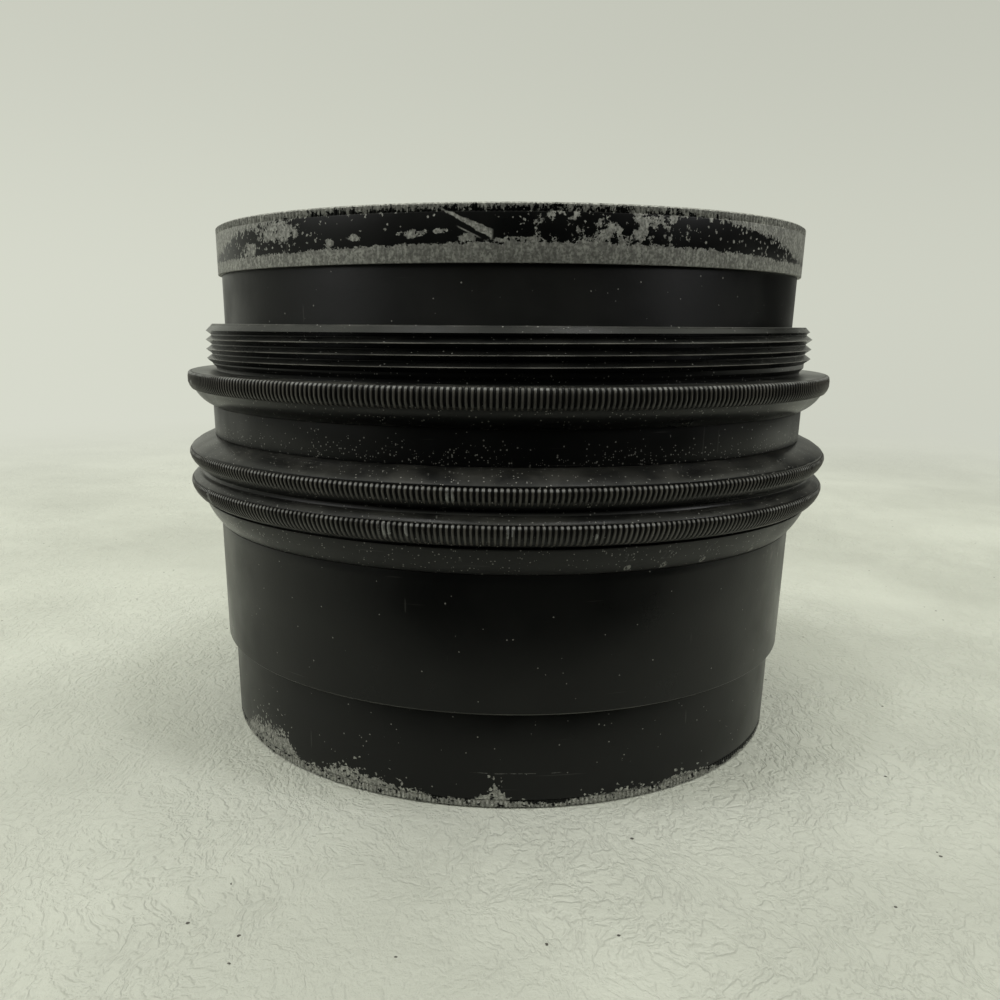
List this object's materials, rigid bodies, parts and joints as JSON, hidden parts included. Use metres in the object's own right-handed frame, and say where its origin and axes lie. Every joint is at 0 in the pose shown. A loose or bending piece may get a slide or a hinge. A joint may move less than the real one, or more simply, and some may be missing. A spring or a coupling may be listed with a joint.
{
  "type": "camera lens",
  "caption": "Barrel lens without a shutter, standing on its front rim: knurled iris ring, working iris, mounting ring with coarse thread, cemented rear glass, worn black finish.",
  "frame": {"origin": "centre of the bounding box in X and Y, on the front rim that the lens stands on", "axes": "+Z along the optical axis from the front glass to the rear glass; +X to the picture's right; -Y to the camera"},
  "size_m": [0.1116, 0.1116, 0.0837],
  "materials": {
    "black_enamel": "satin black paint on aluminium, dusty",
    "worn_enamel": "black paint worn to bare aluminium along its edges",
    "black_anodised": "matt black anodised",
    "leaf_steel": "blued spring steel",
    "screw_steel": "blackened steel",
    "coated_glass": "polished, single-layer coating"
  },
  "bodies": {
    "lens_barrel": {"front_barrel": "black_enamel", "front_barrel_grub_screw": "screw_steel", "front_cell": "black_enamel", "front_element": "coated_glass", "front_retaining_ring": "black_enamel", "iris_base_ring": "black_anodised", "iris_spacer_ring": "black_anodised", "main_barrel": "black_enamel", "mount_ring": "black_enamel", "rear_cell": "worn_enamel", "rear_pair_front_element": "coated_glass", "rear_pair_rear_element": "coated_glass", "rear_retaining_ring": "black_enamel", "second_cell": "black_anodised", "second_element": "coated_glass", "second_retaining_ring": "black_anodised"},
    "iris_control": {"iris_ring": "black_enamel", "iris_drive_ring": "black_anodised", "iris_drive_screw": "screw_steel"},
    "leaf_01": {"iris_leaf_01": "leaf_steel"},
    "leaf_02": {"iris_leaf_02": "leaf_steel"},
    "leaf_03": {"iris_leaf_03": "leaf_steel"},
    "leaf_04": {"iris_leaf_04": "leaf_steel"},
    "leaf_05": {"iris_leaf_05": "leaf_steel"},
    "leaf_06": {"iris_leaf_06": "leaf_steel"},
    "leaf_07": {"iris_leaf_07": "leaf_steel"},
    "leaf_08": {"iris_leaf_08": "leaf_steel"},
    "leaf_09": {"iris_leaf_09": "leaf_steel"},
    "leaf_10": {"iris_leaf_10": "leaf_steel"},
    "leaf_11": {"iris_leaf_11": "leaf_steel"},
    "leaf_12": {"iris_leaf_12": "leaf_steel"}
  },
  "joints": [
    {"name": "iris_ring_turn", "type": "hinge", "parent": "lens_barrel", "child": "iris_control", "pos_m": [0, 0, 0.04545], "axis": [0, 0, 1], "range_deg": [-42.41, 41.8]},
    {"name": "leaf_01_turn", "type": "hinge", "parent": "lens_barrel", "child": "leaf_01", "pos_m": [0.043, 0, 0.0406], "axis": [0, 0, 1], "range_deg": [-16.97, 16.73]},
    {"name": "leaf_02_turn", "type": "hinge", "parent": "lens_barrel", "child": "leaf_02", "pos_m": [0.03724, 0.0215, 0.0406], "axis": [0, 0, 1], "range_deg": [-16.97, 16.73]},
    {"name": "leaf_03_turn", "type": "hinge", "parent": "lens_barrel", "child": "leaf_03", "pos_m": [0.0215, 0.03724, 0.0406], "axis": [0, 0, 1], "range_deg": [-16.97, 16.73]},
    {"name": "leaf_04_turn", "type": "hinge", "parent": "lens_barrel", "child": "leaf_04", "pos_m": [0, 0.043, 0.0406], "axis": [0, 0, 1], "range_deg": [-16.97, 16.73]},
    {"name": "leaf_05_turn", "type": "hinge", "parent": "lens_barrel", "child": "leaf_05", "pos_m": [-0.0215, 0.03724, 0.0406], "axis": [0, 0, 1], "range_deg": [-16.97, 16.73]},
    {"name": "leaf_06_turn", "type": "hinge", "parent": "lens_barrel", "child": "leaf_06", "pos_m": [-0.03724, 0.0215, 0.0406], "axis": [0, 0, 1], "range_deg": [-16.97, 16.73]},
    {"name": "leaf_07_turn", "type": "hinge", "parent": "lens_barrel", "child": "leaf_07", "pos_m": [-0.043, 0, 0.0406], "axis": [0, 0, 1], "range_deg": [-16.97, 16.73]},
    {"name": "leaf_08_turn", "type": "hinge", "parent": "lens_barrel", "child": "leaf_08", "pos_m": [-0.03724, -0.0215, 0.0406], "axis": [0, 0, 1], "range_deg": [-16.97, 16.73]},
    {"name": "leaf_09_turn", "type": "hinge", "parent": "lens_barrel", "child": "leaf_09", "pos_m": [-0.0215, -0.03724, 0.0406], "axis": [0, 0, 1], "range_deg": [-16.97, 16.73]},
    {"name": "leaf_10_turn", "type": "hinge", "parent": "lens_barrel", "child": "leaf_10", "pos_m": [0, -0.043, 0.0406], "axis": [0, 0, 1], "range_deg": [-16.97, 16.73]},
    {"name": "leaf_11_turn", "type": "hinge", "parent": "lens_barrel", "child": "leaf_11", "pos_m": [0.0215, -0.03724, 0.0406], "axis": [0, 0, 1], "range_deg": [-16.97, 16.73]},
    {"name": "leaf_12_turn", "type": "hinge", "parent": "lens_barrel", "child": "leaf_12", "pos_m": [0.03724, -0.0215, 0.0406], "axis": [0, 0, 1], "range_deg": [-16.97, 16.73]}
  ],
  "couplings": [
    {"joint": "leaf_01_turn", "follows": "iris_ring_turn", "ratio": 0.4},
    {"joint": "leaf_02_turn", "follows": "iris_ring_turn", "ratio": 0.4},
    {"joint": "leaf_03_turn", "follows": "iris_ring_turn", "ratio": 0.4},
    {"joint": "leaf_04_turn", "follows": "iris_ring_turn", "ratio": 0.4},
    {"joint": "leaf_05_turn", "follows": "iris_ring_turn", "ratio": 0.4},
    {"joint": "leaf_06_turn", "follows": "iris_ring_turn", "ratio": 0.4},
    {"joint": "leaf_07_turn", "follows": "iris_ring_turn", "ratio": 0.4},
    {"joint": "leaf_08_turn", "follows": "iris_ring_turn", "ratio": 0.4},
    {"joint": "leaf_09_turn", "follows": "iris_ring_turn", "ratio": 0.4},
    {"joint": "leaf_10_turn", "follows": "iris_ring_turn", "ratio": 0.4},
    {"joint": "leaf_11_turn", "follows": "iris_ring_turn", "ratio": 0.4},
    {"joint": "leaf_12_turn", "follows": "iris_ring_turn", "ratio": 0.4}
  ]
}
